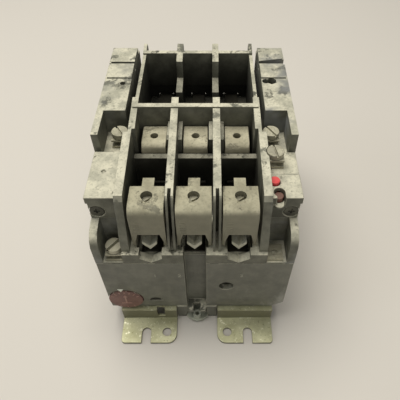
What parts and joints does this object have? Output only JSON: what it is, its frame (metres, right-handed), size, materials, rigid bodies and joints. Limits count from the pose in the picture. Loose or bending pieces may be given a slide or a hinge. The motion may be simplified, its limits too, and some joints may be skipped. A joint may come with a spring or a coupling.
{
  "type": "motor overload relay",
  "caption": "Dusty three-pole thermal overload relay block with box lugs, control terminals, setting dial, rail latch and two zinc-plated feet.",
  "frame": {"origin": "on the mounting face, under the middle of the whole relay", "axes": "+Z out from the mounting face, +Y from the load terminals to the line end, +X to the right seen from the load end"},
  "size_m": [0.0982, 0.148, 0.1028],
  "materials": {
    "body_plastic": "matte moulded thermoset, dusty",
    "cover_plastic": "matte moulded thermoset, dusty",
    "lug_plastic": "matte, thick dust",
    "zinc_plate": "zinc-yellow passivated sheet steel",
    "screw_steel": "dull zinc-plated steel",
    "copper_alloy": "dull tinned copper alloy",
    "dial_plastic": "satin moulded plastic",
    "button_plastic": "satin red plastic",
    "plunger_plastic": "satin brown plastic",
    "spring_steel": "drawn spring wire"
  },
  "bodies": {
    "relay_body": {"base_housing": "body_plastic", "terminal_housing": "body_plastic", "left_side_cover": "cover_plastic", "right_side_cover": "cover_plastic", "middle_terminal_block": "body_plastic", "left_foot": "zinc_plate", "left_foot_screw": "screw_steel", "left_cover_screw": "screw_steel", "right_foot": "zinc_plate", "right_foot_screw": "screw_steel", "right_cover_screw": "screw_steel", "trip_button_spring": "spring_steel", "reset_plunger_spring": "spring_steel", "lug_cover_1": "lug_plastic", "lug_nut_1": "screw_steel", "load_conductor_1": "copper_alloy", "heater_terminal_1": "copper_alloy", "line_stab_1": "copper_alloy", "lug_cover_2": "lug_plastic", "lug_nut_2": "screw_steel", "load_conductor_2": "copper_alloy", "heater_terminal_2": "copper_alloy", "line_stab_2": "copper_alloy", "lug_cover_3": "lug_plastic", "lug_nut_3": "screw_steel", "load_conductor_3": "copper_alloy", "heater_terminal_3": "copper_alloy", "line_stab_3": "copper_alloy", "left_rear_contact_plate": "copper_alloy", "right_rear_contact_plate": "copper_alloy", "right_middle_contact_plate": "copper_alloy", "left_front_contact_plate": "copper_alloy", "right_front_contact_plate": "copper_alloy", "lever_pin": "screw_steel", "left_fixed_contact": "copper_alloy", "right_fixed_contact": "copper_alloy"},
    "latch": {"rail_latch": "zinc_plate"},
    "dial": {"adjusting_dial": "dial_plastic", "dial_cam": "plunger_plastic"},
    "button": {"trip_button": "button_plastic"},
    "plunger": {"reset_plunger": "plunger_plastic"},
    "trip_bar": {"trip_bar": "dial_plastic"},
    "trip_lever": {"trip_lever": "plunger_plastic"},
    "carrier": {"contact_carrier": "plunger_plastic", "contact_bridge": "copper_alloy"},
    "clamp_1": {"lug_clamp_1": "screw_steel"},
    "lug_screw_1": {"lug_screw_1": "screw_steel"},
    "clamp_2": {"lug_clamp_2": "screw_steel"},
    "lug_screw_2": {"lug_screw_2": "screw_steel"},
    "clamp_3": {"lug_clamp_3": "screw_steel"},
    "lug_screw_3": {"lug_screw_3": "screw_steel"},
    "left_rear_saddle": {"left_rear_saddle": "screw_steel"},
    "left_rear_screw": {"left_rear_screw": "screw_steel"},
    "right_rear_saddle": {"right_rear_saddle": "screw_steel"},
    "right_rear_screw": {"right_rear_screw": "screw_steel"},
    "right_middle_saddle": {"right_middle_saddle": "screw_steel"},
    "right_middle_screw": {"right_middle_screw": "screw_steel"},
    "left_front_saddle": {"left_front_saddle": "screw_steel"},
    "left_front_screw": {"left_front_screw": "screw_steel"}
  },
  "joints": [
    {"name": "latch_slide", "type": "slide", "parent": "relay_body", "child": "latch", "axis": [0, -1, 0], "range_m": [0, 0.004], "stiffness_N_per_m": 600, "springref_m": -0.001},
    {"name": "dial_turn", "type": "hinge", "parent": "relay_body", "child": "dial", "pos_m": [-0.0386, -0.0575, 0.02135], "axis": [0, -1, 0], "range_deg": [-120, 120]},
    {"name": "trip_button_press", "type": "slide", "parent": "relay_body", "child": "button", "axis": [0, 0, -1], "range_m": [0, 0.0025], "stiffness_N_per_m": 300, "springref_m": -0.001, "deforming": ["trip_button_spring"]},
    {"name": "reset_plunger_press", "type": "slide", "parent": "relay_body", "child": "plunger", "axis": [0, 0, -1], "range_m": [0, 0.002], "stiffness_N_per_m": 300, "springref_m": -0.001, "deforming": ["reset_plunger_spring"]},
    {"name": "lug_clamp_1_slide", "type": "slide", "parent": "relay_body", "child": "clamp_1", "axis": [0, 0, -1], "range_m": [0, 0.0042]},
    {"name": "lug_screw_1_turn", "type": "hinge", "parent": "clamp_1", "child": "lug_screw_1", "pos_m": [-0.021, -0.0435, 0.086], "axis": [0, 0, -1], "range_deg": [0, 1513]},
    {"name": "lug_clamp_2_slide", "type": "slide", "parent": "relay_body", "child": "clamp_2", "axis": [0, 0, -1], "range_m": [0, 0.0042]},
    {"name": "lug_screw_2_turn", "type": "hinge", "parent": "clamp_2", "child": "lug_screw_2", "pos_m": [0, -0.0435, 0.086], "axis": [0, 0, -1], "range_deg": [0, 1513]},
    {"name": "lug_clamp_3_slide", "type": "slide", "parent": "relay_body", "child": "clamp_3", "axis": [0, 0, -1], "range_m": [0, 0.0042]},
    {"name": "lug_screw_3_turn", "type": "hinge", "parent": "clamp_3", "child": "lug_screw_3", "pos_m": [0.021, -0.0435, 0.086], "axis": [0, 0, -1], "range_deg": [0, 1513]},
    {"name": "left_rear_saddle_slide", "type": "slide", "parent": "relay_body", "child": "left_rear_saddle", "axis": [0, 0, -1], "range_m": [0, 0.0019]},
    {"name": "left_rear_screw_turn", "type": "hinge", "parent": "left_rear_saddle", "child": "left_rear_screw", "pos_m": [-0.0377, -0.004, 0.093], "axis": [0, 0, -1], "range_deg": [0, 1141]},
    {"name": "right_rear_saddle_slide", "type": "slide", "parent": "relay_body", "child": "right_rear_saddle", "axis": [0, 0, -1], "range_m": [0, 0.0019]},
    {"name": "right_rear_screw_turn", "type": "hinge", "parent": "right_rear_saddle", "child": "right_rear_screw", "pos_m": [0.0377, -0.004, 0.093], "axis": [0, 0, -1], "range_deg": [0, 1141]},
    {"name": "right_middle_saddle_slide", "type": "slide", "parent": "relay_body", "child": "right_middle_saddle", "axis": [0, 0, -1], "range_m": [0, 0.0019]},
    {"name": "right_middle_screw_turn", "type": "hinge", "parent": "right_middle_saddle", "child": "right_middle_screw", "pos_m": [0.0377, -0.0224, 0.093], "axis": [0, 0, -1], "range_deg": [0, 1141]},
    {"name": "left_front_saddle_slide", "type": "slide", "parent": "relay_body", "child": "left_front_saddle", "axis": [0, 0, -1], "range_m": [0, 0.0019]},
    {"name": "left_front_screw_turn", "type": "hinge", "parent": "left_front_saddle", "child": "left_front_screw", "pos_m": [-0.0386, -0.0521, 0.093], "axis": [0, 0, -1], "range_deg": [0, 1141]},
    {"name": "trip_bar_slide", "type": "slide", "parent": "relay_body", "child": "trip_bar", "axis": [1, 0, 0], "range_m": [0, 0.0025]},
    {"name": "trip_lever_turn", "type": "hinge", "parent": "relay_body", "child": "trip_lever", "pos_m": [0.0375, 0.021, 0.043], "axis": [0, 1, 0], "range_deg": [0, 13.2]},
    {"name": "carrier_slide", "type": "slide", "parent": "relay_body", "child": "carrier", "axis": [0, 0, -1], "range_m": [0, 0.00205]}
  ],
  "couplings": [
    {"joint": "lug_screw_1_turn", "follows": "lug_clamp_1_slide", "rad_per_m": 6283.2},
    {"joint": "lug_screw_2_turn", "follows": "lug_clamp_2_slide", "rad_per_m": 6283.2},
    {"joint": "lug_screw_3_turn", "follows": "lug_clamp_3_slide", "rad_per_m": 6283.2},
    {"joint": "left_rear_screw_turn", "follows": "left_rear_saddle_slide", "rad_per_m": 10472},
    {"joint": "right_rear_screw_turn", "follows": "right_rear_saddle_slide", "rad_per_m": 10472},
    {"joint": "right_middle_screw_turn", "follows": "right_middle_saddle_slide", "rad_per_m": 10472},
    {"joint": "left_front_screw_turn", "follows": "left_front_saddle_slide", "rad_per_m": 10472},
    {"joint": "trip_lever_turn", "follows": "trip_bar_slide", "rad_per_m": 91},
    {"joint": "carrier_slide", "follows": "trip_bar_slide", "ratio": 0.8}
  ]
}
